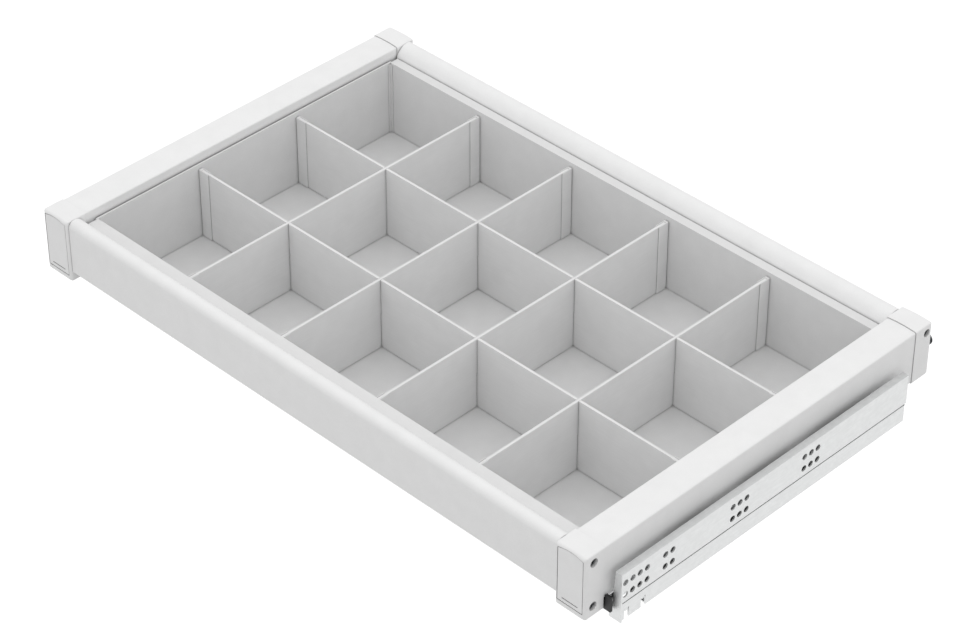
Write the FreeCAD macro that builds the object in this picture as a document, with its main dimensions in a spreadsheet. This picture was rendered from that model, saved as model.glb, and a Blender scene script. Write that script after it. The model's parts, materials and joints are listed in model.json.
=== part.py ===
import FreeCAD, Part
import os
import re

# Pull-out wardrobe drawer: a white frame on two under-mounted runners, with a lift-out
# organiser tray that thin cross-halved dividers split into equal compartments.
#
# Frame of the model: +X is right, -Y is the front (the side that is pulled), +Z is up.
# The origin is the middle of the tray's underside.  All sizes are in millimetres.

COLUMNS = 5          # compartments across
ROWS = 3             # compartments from front to back
BALLS_PER_ROW = 6

SIZES = {
    # overall
    "overall_width": 764.0,      # clear width between the wardrobe's side panels
    "side_gap": 14.5,            # runner plate's outer face to the corner blocks
    "frame_depth": 475.0,        # front corner block to rear corner block
    # frame rails, heights measured from the tray's underside
    "rail_bottom": 41.0,
    "rail_height": 60.2,
    "rail_wall": 1.6,
    "side_rail_width": 34.0,
    "side_setback": 0.7,
    "end_setback": 2.7,
    "front_rail_width": 17.5,
    "back_rail_width": 24.0,
    "outer_round": 7.4,
    "dome_flat": 0.8,            # flat strip left between a rail's two round edges
    "edge_round": 1.5,
    "crown": 1.0,
    "ledge_reach": 7.0,
    "ledge_thick": 2.0,
    "screw_rise": 32.0,          # end screws, above the rails' undersides
    "web_half": 5.0,
    # corner blocks and their covers
    "block_lap": 1.1,            # how far a block stands proud of the side rail's inner face
    "block_length": 24.5,
    "block_rise": 0.9,
    "front_drop": 11.2,
    "back_drop": 1.3,
    "block_round": 3.5,
    "tenon_length": 13.0,
    "tenon_gap": 0.2,
    "cover_margin": 2.4,
    "cover_rise": 6.6,
    "cover_drop": 2.2,
    "cover_arch": 2.6,
    "cover_thick": 1.2,
    "cover_gap": 0.6,
    "cover_sink": 0.1,
    "prise_slot_half": 9.5,
    "prise_slot_high": 1.1,
    "prise_slot_rise": 4.2,
    "front_hole_inset": 11.0,
    "back_hole_inset": 8.3,
    "side_hole_drop": 9.5,
    "low_hole_rise": 11.8,
    "front_hole_radius": 4.7,
    "back_hole_radius": 4.3,
    "side_hole_depth": 4.6,
    # screws
    "screw_radius": 2.0,
    "screw_length": 26.0,
    "low_screw_length": 20.0,
    "screw_gap": 0.05,
    "head_radius": 3.8,
    "head_height": 2.6,
    "knob_radius": 6.5,
    "knob_height": 5.0,
    "clamp_offset": 8.5,
    # tray
    "tray_side_gap": 1.55,
    "rim_width": 11.1,           # back rail's inner face to the tray's inner face
    "rim_gap": 0.5,
    "rim_drop": 11.5,
    "rim_thick": 2.0,
    "tray_wall": 2.0,
    "tray_floor": 2.0,
    "strip_leg": 3.5,
    "strip_thick": 1.0,
    # dividers
    "divider_drop": 5.9,
    "divider_thick": 3.0,
    "slot_gap": 0.1,
    "end_gap": 0.4,
    "clip_length": 14.0,
    "clip_thick": 5.0,
    "clip_rise": 0.4,
    "clip_back": 3.0,
    # cabinet bracket
    "runner_inset": 31.5,
    "runner_back_gap": 50.5,
    "plate_thick": 1.5,
    "plate_low": 40.0,
    "plate_high": 73.2,
    "lip_width": 7.6,
    "flange_step": 1.5,
    "flange_low": 17.6,
    "flange_start": 34.0,
    "toe_length": 6.0,
    "tab_waist": 10.3,
    "tab_waist_low": 34.3,
    "tab_foot": 14.2,
    "notch_top": 28.9,
    "notch_width": 6.0,
    "notch_one": 6.0,
    "notch_two": 27.5,
    "hole_radius": 3.3,
    "hole_pitch": 9.3,
    "row_low": 48.5,
    "row_high": 62.1,
    "group_one": 5.0,
    "group_two": 56.5,
    "group_three": 145.8,
    "group_four": 244.2,
    # telescopic members
    "track_half": 10.5,
    "track_wall": 1.5,
    "track_start": 16.0,
    "track_high": 28.5,
    "member_low": 31.5,
    "member_inset": 1.0,
    "member_short": 2.0,
    "tube_half": 6.3,
    "tube_wall": 1.5,
    "tube_gap": 1.4,
    "tube_short": 12.0,
    "ball_radius": 1.15,
    "cage_thick": 0.5,
    "cage_length": 170.0,
    "cage_start": 108.5,
    "cage_leg": 6.0,
    "ball_height": 3.9,
    "stop_length": 11.0,
    "stop_high": 34.0,
    "member_screw_radius": 1.6,
    "member_screw_length": 9.0,
    "member_head_radius": 2.8,
    "member_head_height": 0.9,
    # front catch and rear bracket
    "catch_gap": 0.5,
    "catch_thick": 5.0,
    "catch_reach": 16.0,
    "nose_reach": 7.6,
    "nose_thick": 2.8,
    "nose_rise": 4.5,
    "nose_gap": 1.0,
    "ear_depth": 2.5,
    "ear_width": 1.8,
    "lever_half": 8.0,
    "lever_gap": 0.2,
    "lever_length": 17.0,
    "lever_thick": 2.0,
    "lever_drop": 2.8,
    "hinge_radius": 1.0,
    "hinge_gap": 0.05,
    "hub_radius": 2.2,
    "hub_gap": 0.3,
    "bracket_inner": 13.0,
    "bracket_outer": 15.4,
    "bracket_thick": 1.5,
    "bracket_rise": 9.0,
    "foot_thick": 1.1,
    "foot_half": 7.0,
}

doc = FreeCAD.newDocument("DrawerOrganiser")
sheet = doc.addObject("Spreadsheet::Sheet", "Sizes")
for line, (alias, value) in enumerate(SIZES.items(), start=1):
    sheet.set(f"A{line}", alias)
    sheet.set(f"B{line}", str(value))
    sheet.setAlias(f"B{line}", alias)
doc.recompute()

nodes = {}           # label of each sub-part -> its object


# ---------------------------------------------------------------- helpers

def in_sheet(formula):
    """Point every size's name in a formula at its spreadsheet cell."""
    def cell(match):
        word = match.group()
        return "Sizes." + word if word in SIZES else word
    return re.sub(r"[a-z_]+", cell, formula)


def bind(thing, **formulas):
    for prop, formula in formulas.items():
        thing.setExpression(prop, in_sheet(formula))
    return thing


def place(thing, x, y, z):
    for axis, formula in zip("xyz", (x, y, z)):
        thing.setExpression(f"Placement.Base.{axis}", in_sheet(formula))
    return thing


def size_box(thing, x, y, z):
    """Size and place a box from the low and high formula of each axis."""
    bind(thing, Length=f"({x[1]}) - ({x[0]})", Width=f"({y[1]}) - ({y[0]})", Height=f"({z[1]}) - ({z[0]})")
    return place(thing, x[0], y[0], z[0])


TURNS = {
    "x": FreeCAD.Rotation(FreeCAD.Vector(0, 1, 0), 90),
    "y": FreeCAD.Rotation(FreeCAD.Vector(1, 0, 0), -90),
    "z": FreeCAD.Rotation(),
}


def size_rod(thing, axis, start, radius, length):
    """Size a cylinder and run it from start (x, y, z) along an axis."""
    thing.Placement = FreeCAD.Placement(FreeCAD.Vector(), TURNS[axis])
    bind(thing, Radius=radius, Height=length)
    return place(thing, *start)


def box(name, x, y, z):
    return size_box(doc.addObject("Part::Box", name), x, y, z)


def rod(name, axis, start, radius, length):
    return size_rod(doc.addObject("Part::Cylinder", name), axis, start, radius, length)


def cut(name, base, *tools):
    result = doc.addObject("Part::Cut", name)
    result.Base = base
    result.Tool = tools[0] if len(tools) == 1 else group(name + "Tools", *tools)
    return result


def fuse(name, *shapes):
    result = doc.addObject("Part::MultiFuse", name)
    result.Shapes = list(shapes)
    result.Refine = True
    return result


def common(name, *shapes):
    result = doc.addObject("Part::MultiCommon", name)
    result.Shapes = list(shapes)
    return result


def group(name, *shapes):
    result = doc.addObject("Part::Compound", name)
    result.Links = list(shapes)
    return result


def node(label, thing):
    thing.Label = label
    nodes[label] = thing
    return thing


def mirror(label, source):
    """The left-hand twin of a right-hand piece."""
    twin = doc.addObject("Part::Mirroring", "Mirror_" + label)
    twin.Source = source
    twin.Normal = (1, 0, 0)
    twin.Base = (0, 0, 0)
    return node(label, twin)


def pair(name, thing):
    """Name a right-hand piece and make its left-hand twin."""
    node("right_" + name, thing)
    mirror("left_" + name, thing)


def along(edge, axis):
    direction = edge.tangentAt(edge.FirstParameter)
    return abs(getattr(direction, axis)) > 0.999


def edge_names(shape, axis, **limits):
    """Edges along an axis that lie on the named extreme faces of the shape's box."""
    names = []
    for number, edge in enumerate(shape.Edges, start=1):
        if not along(edge, axis):
            continue
        near = all(abs(getattr(edge.BoundBox, side) - getattr(shape.BoundBox, side)) < 0.01
                   for side in limits["sides"])
        if near:
            names.append(f"Edge{number}")
    return names


def round_edges(body, name, radius, *choices):
    """Fillet a body's edges: each choice is (axis, sides of the box that the edge lies on)."""
    doc.recompute()
    tip = body.Tip
    names = []
    for axis, sides in choices:
        names += edge_names(tip.Shape, axis, sides=sides)
    fillet = body.newObject("PartDesign::Fillet", name)
    fillet.Base = (tip, sorted(set(names)))
    fillet.setExpression("Radius", in_sheet(radius))
    doc.recompute()
    return fillet


# ---------------------------------------------------------------- shared places

HALF = "overall_width / 2"                                   # runner plate's outer face
BLOCK_OUT = "(overall_width / 2 - side_gap)"                 # corner block's side face
SIDE_OUT = f"({BLOCK_OUT} - side_setback)"                   # side rail's faces
SIDE_IN = f"({SIDE_OUT} - side_rail_width)"
BLOCK_IN = f"({SIDE_IN} - block_lap)"
BLOCK_WIDTH = "(side_rail_width + side_setback + block_lap)"
TRACK = f"({SIDE_OUT} - side_rail_width / 2)"                # middle of the side rail and its runner
FACE = "(frame_depth / 2)"                                   # corner block's front face
BLOCK_END = f"({FACE} - block_length)"                       # joint of block and side rail
RAIL_FACE = f"({FACE} - end_setback)"
FRONT_IN = f"({RAIL_FACE} - front_rail_width)"
BACK_IN = f"({RAIL_FACE} - back_rail_width)"
RAIL_TOP = "(rail_bottom + rail_height)"
BLOCK_TOP = f"({RAIL_TOP} + block_rise)"
FRONT_LOW = "(rail_bottom - front_drop)"                     # front block's underside
SIDE_SCREW_Z = f"({RAIL_TOP} - side_hole_drop)"
END_SCREW_Z = "(rail_bottom + screw_rise)"
CLAMP_X = f"({TRACK} + clamp_offset)"
TRAY_OUT = f"({SIDE_IN} - tray_side_gap)"                    # tray wall's outer face
TRAY_X = f"({TRAY_OUT} - tray_wall)"                         # tray wall's inner face
TRAY_Y = f"({BACK_IN} - rim_width)"
RIM_TOP = f"({RAIL_TOP} - rim_drop)"
RIM_LOW = f"({RIM_TOP} - rim_thick)"
DIVIDER_TOP = f"({RIM_TOP} - divider_drop)"
SCREW_HOLE = "screw_radius + screw_gap"
RUNNER_FRONT = f"(-{FACE} + runner_inset)"
RUNNER_BACK = f"({FACE} - runner_back_gap)"


# ---------------------------------------------------------------- front and back rails

def end_rail(label, side, inner_face, width, screw_y):
    """A hollow rail across the frame, domed on top, with a ledge that the tray's rim rests on."""
    front = side < 0
    low, high = (f"-{RAIL_FACE}", f"-{inner_face}") if front else (inner_face, RAIL_FACE)
    body = doc.addObject("PartDesign::Body", "Body_" + label)
    outside = body.newObject("PartDesign::AdditiveBox", label + "_Outside")
    size_box(outside, (f"-{BLOCK_IN}", BLOCK_IN), (low, high), ("rail_bottom", RAIL_TOP))
    outer, inner = ("YMin", "YMax") if front else ("YMax", "YMin")
    round_edges(body, label + "_OuterDome", "outer_round", ("x", ("ZMax", outer)))
    round_edges(body, label + "_InnerDome", f"{width} - outer_round - dome_flat", ("x", ("ZMax", inner)))
    round_edges(body, label + "_Foot", "edge_round / 2", ("x", ("ZMin", outer)))
    hollow = body.newObject("PartDesign::SubtractiveBox", label + "_Hollow")
    size_box(hollow, (f"-{BLOCK_IN} - 1", f"{BLOCK_IN} + 1"), (f"{low} + rail_wall", f"{high} - rail_wall"),
             ("rail_bottom + rail_wall", f"{RIM_LOW} - ledge_thick"))
    ledge = body.newObject("PartDesign::AdditiveBox", label + "_Ledge")
    reach = (f"{high} - rail_wall", f"{high} + ledge_reach") if front else \
        (f"{low} - ledge_reach", f"{low} + rail_wall")
    size_box(ledge, (f"-{BLOCK_IN}", BLOCK_IN), reach, (f"{RIM_LOW} - ledge_thick", RIM_LOW))
    for hand, start in (("Left", f"-{BLOCK_IN}"), ("Right", f"{BLOCK_IN} - screw_length")):
        hole = body.newObject("PartDesign::SubtractiveCylinder", f"{label}_{hand}Hole")
        size_rod(hole, "x", (start, screw_y, SIDE_SCREW_Z), SCREW_HOLE, "screw_length")
    doc.recompute()
    return node(label, body)


FRONT_SCREW_Y = f"-({FACE} - front_hole_inset)"
BACK_SCREW_Y = f"({FACE} - back_hole_inset)"
end_rail("front_rail", -1, FRONT_IN, "front_rail_width", FRONT_SCREW_Y)
end_rail("back_rail", 1, BACK_IN, "back_rail_width", BACK_SCREW_Y)


# ---------------------------------------------------------------- side rails

MEMBER_SCREW_STEPS = (0.1, 0.5, 0.9)     # places of the runner's screws, as shares of its member
MEMBER_FRONT = f"({RUNNER_FRONT} + member_inset)"
MEMBER_BACK = f"({RUNNER_BACK} - member_short)"


def member_screw_y(share):
    return f"({MEMBER_FRONT} + ({MEMBER_BACK} - {MEMBER_FRONT}) * {share})"


def crowned(name, x, y, z_low, crest, width):
    """A box whose top bows up along X to a crest, as one long arc."""
    plain = box(name + "Plain", x, y, (z_low, crest))
    radius = f"(({width}) ^ 2 / (8 * crown) + crown / 2)"
    arch = rod(name + "Arch", "y", (f"(({x[0]}) + ({x[1]})) / 2", f"({y[0]}) - 1", f"({crest}) - {radius}"),
               radius, f"({y[1]}) - ({y[0]}) + 2")
    return common(name, plain, arch)


def side_rail():
    """A hollow rail down the side, with a web that the corner blocks' screws go into."""
    y = (f"-{BLOCK_END}", BLOCK_END)
    shell = crowned("SideRailShell", (SIDE_IN, SIDE_OUT), y, "rail_bottom", RAIL_TOP, "side_rail_width")
    inside = (f"{SIDE_IN} + rail_wall", f"{SIDE_OUT} - rail_wall")
    through = (f"-{BLOCK_END} - 1", f"{BLOCK_END} + 1")
    tools = [
        box("SideRailLower", inside, through, ("rail_bottom + rail_wall", f"{END_SCREW_Z} - web_half")),
        box("SideRailUpper", inside, through, (f"{END_SCREW_Z} + web_half", f"{RAIL_TOP} - crown - rail_wall")),
        rod("SideRailFrontHole", "y", (TRACK, f"-{BLOCK_END}", END_SCREW_Z), SCREW_HOLE, "screw_length"),
        rod("SideRailBackHole", "y", (CLAMP_X, f"{BLOCK_END} - screw_length", END_SCREW_Z),
            SCREW_HOLE, "screw_length"),
    ]
    for number, share in enumerate(MEMBER_SCREW_STEPS):
        tools.append(rod(f"SideRailRunnerHole{number}", "z", (TRACK, member_screw_y(share), "rail_bottom - 1"),
                         "member_screw_radius + screw_gap", "rail_wall + 2"))
    hollow = cut("SideRailHollow", shell, *tools)
    doc.recompute()
    rounded = doc.addObject("Part::Fillet", "SideRail")
    rounded.Base = hollow
    radius = sheet.get("edge_round")
    shape = hollow.Shape
    picked = []
    for number, edge in enumerate(shape.Edges, start=1):
        box_of = edge.BoundBox
        whole = shape.BoundBox
        on_side = abs(box_of.XMin - whole.XMin) < 0.01 or abs(box_of.XMax - whole.XMax) < 0.01
        long_edge = box_of.YLength > shape.BoundBox.YLength - 0.01
        if on_side and long_edge and box_of.XLength < 0.01:
            picked.append((number, radius, radius))
    rounded.Edges = picked
    pair("side_rail", rounded)


side_rail()


# ---------------------------------------------------------------- corner blocks

def cover_outline(name, y, margin):
    """The arched-top panel of a front corner block, made smaller all round by a margin."""
    width = f"({BLOCK_WIDTH} - 2 * (cover_margin + {margin}))"
    middle = f"({BLOCK_OUT} - {BLOCK_WIDTH} / 2)"
    top = f"({BLOCK_TOP} - cover_drop - {margin})"
    x = (f"{middle} - {width} / 2", f"{middle} + {width} / 2")
    spring = f"({top} - cover_arch)"
    lower = box(name + "Lower", x, y, (f"{FRONT_LOW} + cover_rise + {margin}", spring))
    upper = box(name + "Upper", x, y, (f"{spring} - 1", top))
    radius = f"({width} ^ 2 / (8 * cover_arch) + cover_arch / 2)"
    arch = rod(name + "Arch", "y", (middle, f"({y[0]}) - 1", f"{top} - {radius}"), radius,
               f"({y[1]}) - ({y[0]}) + 2")
    return fuse(name, lower, common(name + "Crest", upper, arch))


LOW_SCREW_Z = f"({FRONT_LOW} + low_hole_rise)"
LOW_TIP = f"({BLOCK_OUT} - side_hole_depth - low_screw_length)"


def corner_block(name, front):
    """A moulded block that joins two rails: tenons in both, a screw into each."""
    tag = "Front" if front else "Back"
    low = FRONT_LOW if front else "rail_bottom - back_drop"
    y = (f"-{FACE}", f"-{BLOCK_END}") if front else (BLOCK_END, FACE)
    shell = crowned(tag + "BlockShell", (BLOCK_IN, BLOCK_OUT), y, low, BLOCK_TOP, BLOCK_WIDTH)
    doc.recompute()
    rounded = doc.addObject("Part::Fillet", tag + "BlockRounded")
    rounded.Base = shell
    radius = sheet.get("block_round")
    soft = sheet.get("edge_round")
    outer = "YMin" if front else "YMax"
    shape = shell.Shape
    picked = []
    for number, edge in enumerate(shape.Edges, start=1):
        bound = edge.BoundBox
        off_face = getattr(bound, outer) - getattr(shape.BoundBox, outer)
        on_face = abs(off_face) < 0.01 and bound.YLength < 0.01
        at_side = bound.YLength > 1 and bound.XLength < 0.01
        if on_face:
            picked.append((number, radius, radius))
        elif at_side:
            picked.append((number, soft, soft))
    rounded.Edges = picked
    inner_face, rail_face = (FRONT_IN, RAIL_FACE) if front else (BACK_IN, RAIL_FACE)
    rail_low, rail_high = (f"-{rail_face}", f"-{inner_face}") if front else (inner_face, rail_face)
    slack = "rail_wall + tenon_gap"
    end_tenon = box(tag + "EndTenon", (f"{BLOCK_IN} - tenon_length", f"{BLOCK_IN} + 1"),
                    (f"{rail_low} + {slack}", f"{rail_high} - ({slack})"),
                    (f"rail_bottom + {slack}", f"{RIM_LOW} - ledge_thick - tenon_gap"))
    side_y = (f"-{BLOCK_END} - 1", f"-{BLOCK_END} + tenon_length") if front else \
        (f"{BLOCK_END} - tenon_length", f"{BLOCK_END} + 1")
    side_tenon = box(tag + "SideTenon", (f"{SIDE_IN} + {slack}", f"{SIDE_OUT} - ({slack})"), side_y,
                     (f"rail_bottom + {slack}", f"{END_SCREW_Z} - web_half - tenon_gap"))
    solid = fuse(tag + "BlockSolid", rounded, end_tenon, side_tenon)
    screw_y = FRONT_SCREW_Y if front else BACK_SCREW_Y
    hole_radius = "front_hole_radius" if front else "back_hole_radius"
    recess = f"{BLOCK_OUT} - side_hole_depth"
    end_x = TRACK if front else CLAMP_X
    tools = [
        rod(tag + "SideRecess", "x", (recess, screw_y, SIDE_SCREW_Z), hole_radius, "side_hole_depth + 1"),
        rod(tag + "SideScrewHole", "x", (f"{BLOCK_IN} - 1", screw_y, SIDE_SCREW_Z), SCREW_HOLE, BLOCK_WIDTH),
        rod(tag + "EndScrewHole", "y", (end_x, f"{y[0]} - 1", END_SCREW_Z), SCREW_HOLE, "block_length + 2"),
    ]
    if front:
        tools.append(rod("LowRecess", "x", (recess, screw_y, LOW_SCREW_Z), hole_radius, "side_hole_depth + 1"))
        tools.append(rod("LowScrewHole", "x", (LOW_TIP, screw_y, LOW_SCREW_Z), SCREW_HOLE, "low_screw_length"))
        tools.append(cover_outline("CoverPocket", (f"-{FACE} - 1", f"-{FACE} + cover_thick + cover_sink"), "0"))
        tools.append(rod("EndHeadRecess", "y", (TRACK, f"-{FACE} + cover_thick", END_SCREW_Z),
                         "head_radius + screw_gap", "cover_sink + head_height"))
    return cut(tag + "Block", solid, *tools)


pair("front_corner_block", corner_block("front", True))
pair("back_corner_block", corner_block("back", False))


def cover():
    """The flush panel that hides the front block's screw, with a slot to prise it off."""
    y = (f"-{FACE} + cover_sink", f"-{FACE} + cover_sink + cover_thick")
    panel = cover_outline("CoverPanel", y, "cover_gap")
    middle = f"({BLOCK_OUT} - {BLOCK_WIDTH} / 2)"
    low = f"({FRONT_LOW} + cover_rise + prise_slot_rise)"
    slot = box("CoverSlot", (f"{middle} - prise_slot_half", f"{middle} + prise_slot_half"),
               (f"{y[0]} - 1", f"{y[1]} + 1"), (low, f"{low} + prise_slot_high"))
    pair("front_cover", cut("Cover", panel, slot))


cover()


# ---------------------------------------------------------------- frame screws

def screw(name, axis, tip, head_at, shank, radius="head_radius", height="head_height"):
    """A pan-headed screw: tip and head_at are the low ends of its shank and its head."""
    body = rod(name + "Shank", axis, tip, "screw_radius", shank)
    head = rod(name + "Head", axis, head_at, radius, height)
    return fuse(name, body, head)


SIDE_SEAT = f"({BLOCK_OUT} - side_hole_depth)"
RAIL_TIP = f"({BLOCK_IN} - screw_length + 2)"
side_screws = []
for tag, shank_start, screw_y, screw_z in (
        ("Front", RAIL_TIP, FRONT_SCREW_Y, SIDE_SCREW_Z),
        ("Back", RAIL_TIP, BACK_SCREW_Y, SIDE_SCREW_Z),
        ("Low", LOW_TIP, FRONT_SCREW_Y, LOW_SCREW_Z)):
    right = screw(tag + "SideScrew", "x", (shank_start, screw_y, screw_z), (SIDE_SEAT, screw_y, screw_z),
                  f"{SIDE_SEAT} - {shank_start} + head_height / 2")
    left = doc.addObject("Part::Mirroring", tag + "SideScrewLeft")
    left.Source = right
    left.Normal = (1, 0, 0)
    side_screws += [right, left]
node("rail_side_screws", group("RailSideScrews", *side_screws))


def both_hands(name, right):
    left = doc.addObject("Part::Mirroring", name + "Left")
    left.Source = right
    left.Normal = (1, 0, 0)
    return group(name + "Both", right, left)


FRONT_HEAD = f"(-{FACE} + cover_sink + cover_thick)"
front_screw = screw("FrontEndScrew", "y", (TRACK, f"{FRONT_HEAD} + head_height / 2", END_SCREW_Z),
                    (TRACK, FRONT_HEAD, END_SCREW_Z),
                    f"-{BLOCK_END} + screw_length - 2 - ({FRONT_HEAD} + head_height / 2)")
node("front_end_screws", both_hands("FrontEndScrew", front_screw))

BRACKET_BACK = f"({FACE} + bracket_thick)"
back_tip = f"({BLOCK_END} - screw_length + 2)"
back_screw = screw("BackClampScrew", "y", (CLAMP_X, back_tip, END_SCREW_Z), (CLAMP_X, BRACKET_BACK, END_SCREW_Z),
                   f"{BRACKET_BACK} - {back_tip} + 1", "knob_radius", "knob_height")
node("rear_clamp_screws", both_hands("BackClampScrew", back_screw))


# ---------------------------------------------------------------- tray

def tray():
    floor = box("TrayBase", (f"-{TRAY_X}", TRAY_X), (f"-{TRAY_Y}", TRAY_Y), ("0", "tray_floor"))
    node("tray_base", floor)
    wall_y = f"({TRAY_Y} + tray_wall)"
    rims = (("front", -1, f"({FRONT_IN} - rim_gap)"), ("back", 1, f"({BACK_IN} - rim_gap)"))
    for name, side, rim_end in rims:
        front = side < 0
        y = (f"-{wall_y}", f"-{TRAY_Y}") if front else (TRAY_Y, wall_y)
        rim_y = (f"-{rim_end}", f"-{TRAY_Y}") if front else (TRAY_Y, rim_end)
        wall = box(f"Tray{name}Plate", (f"-{TRAY_X}", TRAY_X), y, ("0", RIM_TOP))
        rim = box(f"Tray{name}Rim", (f"-{TRAY_X}", TRAY_X), rim_y, (RIM_LOW, RIM_TOP))
        node(f"tray_{name}_wall", fuse(f"Tray{name}", wall, rim))
    side = box("TraySide", (TRAY_X, TRAY_OUT), (f"-{wall_y}", wall_y), ("0", RIM_TOP))
    node("tray_right_wall", side)
    mirror("tray_left_wall", side)
    strips = []
    for x_sign in ("", "-"):
        for y_sign in ("", "-"):
            tag = f"Strip{'L' if x_sign else 'R'}{'F' if y_sign else 'B'}"
            spans = []
            for sign, far, deep in ((x_sign, TRAY_X, "strip_leg"), (y_sign, TRAY_Y, "strip_leg")):
                inner = f"({far} - {deep})"
                spans.append((f"-{far}", f"-{inner}") if sign else (inner, far))
            block = box(tag + "Block", spans[0], spans[1], ("tray_floor", RIM_LOW))
            cores = []
            for sign, far in ((x_sign, TRAY_X), (y_sign, TRAY_Y)):
                inner = f"({far} - strip_leg - 1)"
                outer = f"({far} - strip_thick)"
                cores.append((f"-{outer}", f"-{inner}") if sign else (inner, outer))
            core = box(tag + "Core", cores[0], cores[1], ("0", RIM_TOP))
            strips.append(cut(tag, block, core))
    node("tray_corner_strips", group("TrayCornerStrips", *strips))


tray()


# ---------------------------------------------------------------- dividers

PITCH_X = f"(2 * {TRAY_X} / {COLUMNS})"
PITCH_Y = f"(2 * {TRAY_Y} / {ROWS})"
HALF_HIGH = f"(({DIVIDER_TOP} + tray_floor) / 2)"
SLOT_HALF = "(divider_thick / 2 + slot_gap)"
PLATE_X = f"({TRAY_X} - end_gap - clip_back)"
PLATE_Y = f"({TRAY_Y} - end_gap - clip_back)"


def column_x(number):
    """Place of a cross divider, counted from the left."""
    return f"({PITCH_X} * {number + 1 - COLUMNS / 2})"


def row_y(number):
    """Place of a long divider, counted from the front."""
    return f"({PITCH_Y} * {number + 1 - ROWS / 2})"


def long_divider(label, y):
    thick = (f"{y} - divider_thick / 2", f"{y} + divider_thick / 2")
    plate = box("Plate_" + label, (f"-{PLATE_X}", PLATE_X), thick, ("tray_floor", DIVIDER_TOP))
    slots = []
    for number in range(COLUMNS - 1):
        x = column_x(number)
        slots.append(box(f"Slot{number}_{label}", (f"{x} - {SLOT_HALF}", f"{x} + {SLOT_HALF}"),
                         (f"{y} - divider_thick", f"{y} + divider_thick"), (HALF_HIGH, f"{DIVIDER_TOP} + 1")))
    node(label, cut("Cut_" + label, plate, *slots))


def cross_divider(label, x):
    thick = (f"{x} - divider_thick / 2", f"{x} + divider_thick / 2")
    plate = box("Plate_" + label, thick, (f"-{PLATE_Y}", PLATE_Y), ("tray_floor", DIVIDER_TOP))
    slots = []
    for number in range(ROWS - 1):
        y = row_y(number)
        slots.append(box(f"Slot{number}_{label}", (f"{x} - divider_thick", f"{x} + divider_thick"),
                         (f"{y} - {SLOT_HALF}", f"{y} + {SLOT_HALF}"), ("tray_floor - 1", HALF_HIGH)))
    node(label, cut("Cut_" + label, plate, *slots))


def end_clip(name, axis, sign, across):
    """A slotted foot on a divider's end: it stands against the tray's wall."""
    wall = TRAY_X if axis == "x" else TRAY_Y
    outer = f"({wall} - end_gap)"
    inner = f"({outer} - clip_length)"
    deep = f"({outer} - clip_back)"
    run = (inner, outer) if sign > 0 else (f"-{outer}", f"-{inner}")
    slot_run = (f"{inner} - 1", deep) if sign > 0 else (f"-{deep}", f"-{inner} + 1")
    wide = (f"{across} - clip_thick / 2", f"{across} + clip_thick / 2")
    slot_wide = (f"{across} - {SLOT_HALF}", f"{across} + {SLOT_HALF}")
    high = ("tray_floor", f"{DIVIDER_TOP} + clip_rise")
    slot_high = ("tray_floor - 1", f"{DIVIDER_TOP} + clip_rise + 1")
    if axis == "x":
        return cut(name, box(name + "Foot", run, wide, high), box(name + "Slot", slot_run, slot_wide, slot_high))
    return cut(name, box(name + "Foot", wide, run, high), box(name + "Slot", slot_wide, slot_run, slot_high))


for number, label in enumerate(("front_long_divider", "back_long_divider")):
    long_divider(label, row_y(number))
for number in range(COLUMNS - 1):
    cross_divider(f"cross_divider_{number + 1}", column_x(number))
for label, axis, sign, places in (
        ("right_divider_clips", "x", 1, [row_y(n) for n in range(ROWS - 1)]),
        ("left_divider_clips", "x", -1, [row_y(n) for n in range(ROWS - 1)]),
        ("front_divider_clips", "y", -1, [column_x(n) for n in range(COLUMNS - 1)]),
        ("back_divider_clips", "y", 1, [column_x(n) for n in range(COLUMNS - 1)])):
    clips = [end_clip(f"Clip{n}_{label}", axis, sign, at) for n, at in enumerate(places)]
    node(label, group("Group_" + label, *clips))


# ---------------------------------------------------------------- cabinet bracket

LOWER_FACE = f"({HALF} - flange_step)"                      # outer face below the crease
LOWER_IN = f"({LOWER_FACE} - plate_thick)"
TRACK_LOW = "(flange_low + plate_thick)"                    # top of the bottom flange


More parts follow.
